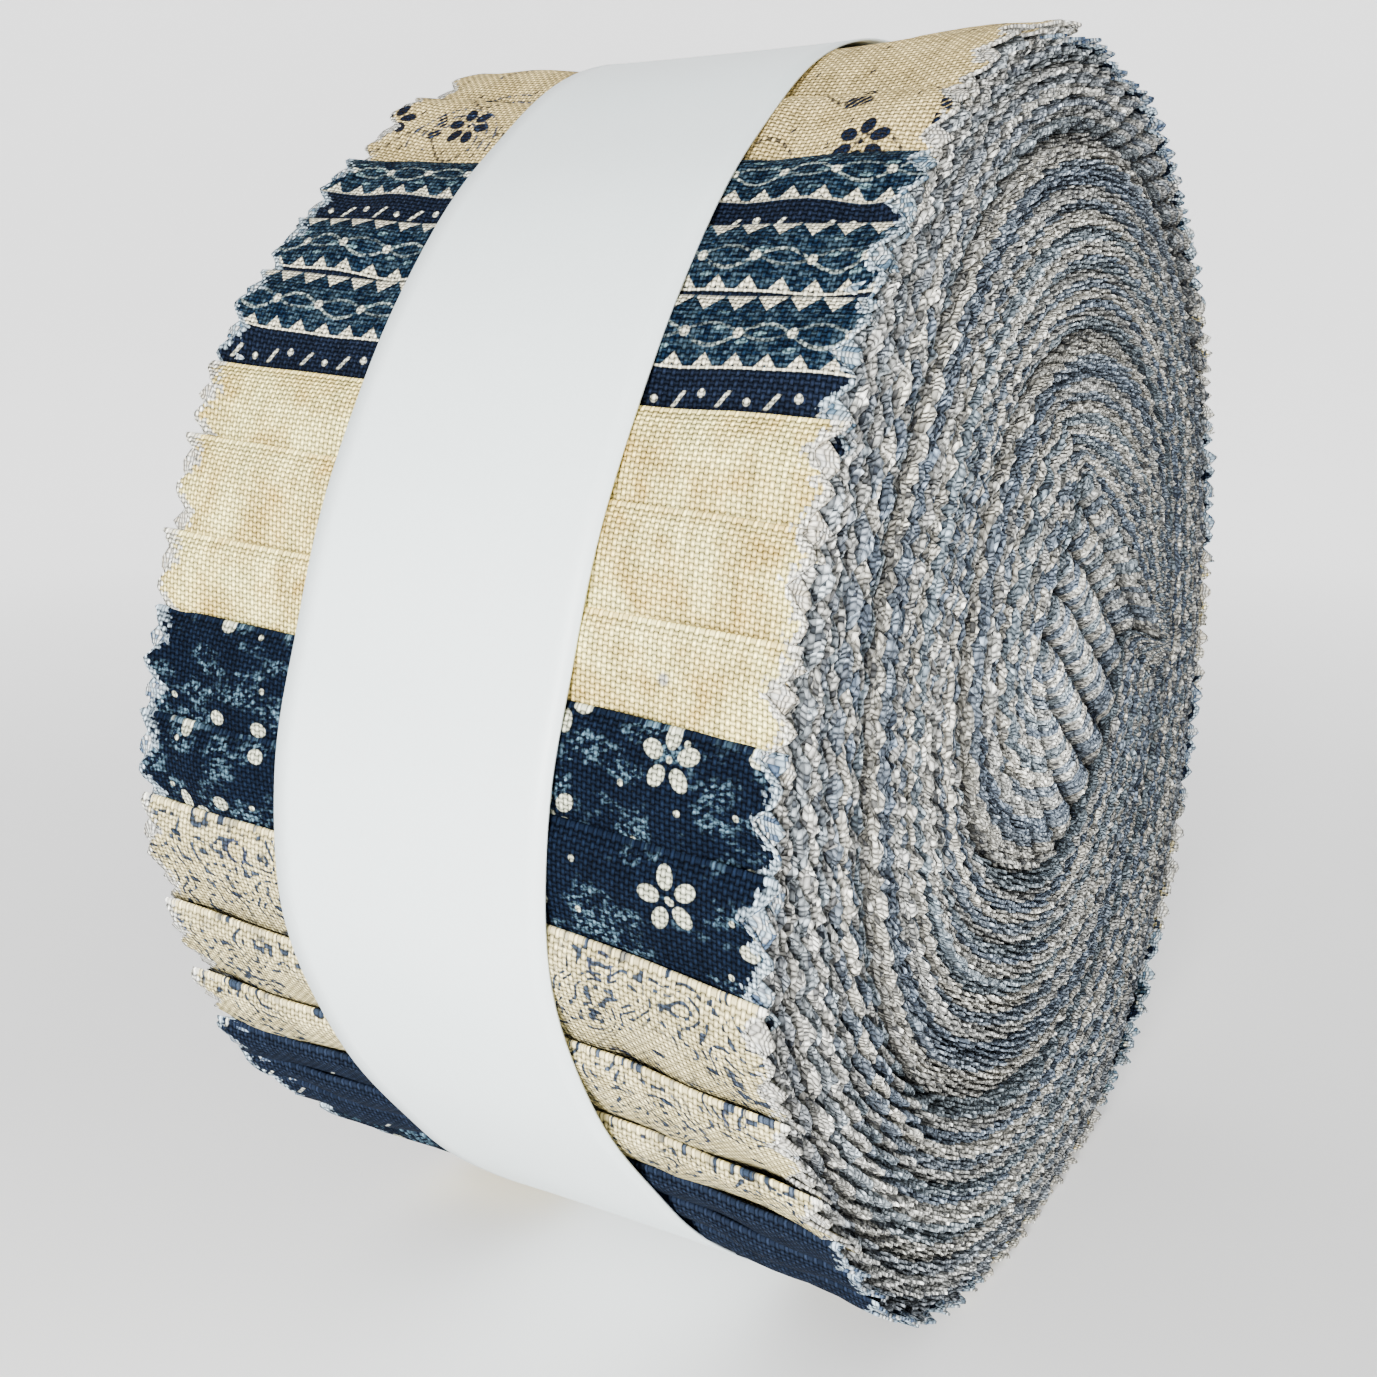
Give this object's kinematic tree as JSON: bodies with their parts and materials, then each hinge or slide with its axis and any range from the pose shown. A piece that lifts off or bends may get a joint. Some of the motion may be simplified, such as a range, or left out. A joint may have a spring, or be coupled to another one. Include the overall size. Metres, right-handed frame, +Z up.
{
  "type": "precut fabric strip roll",
  "caption": "Wound roll of folded quilting cotton strips with pinked edges, stepped strip ends round its rim and a plain paper band.",
  "frame": {"origin": "the middle of the flat spot on which the roll rests, under the centre of its bounding box", "axes": "+X along the roll's axis towards one end face, +Z up, +Y across the roll"},
  "size_m": [0.0636, 0.1224, 0.1199],
  "materials": {
    "printed_cotton": "matte plain-weave printed cotton",
    "band_paper": "smooth satin paper"
  },
  "bodies": {
    "root": {"strip_roll": "printed_cotton", "paper_band": "band_paper"}
  },
  "joints": []
}
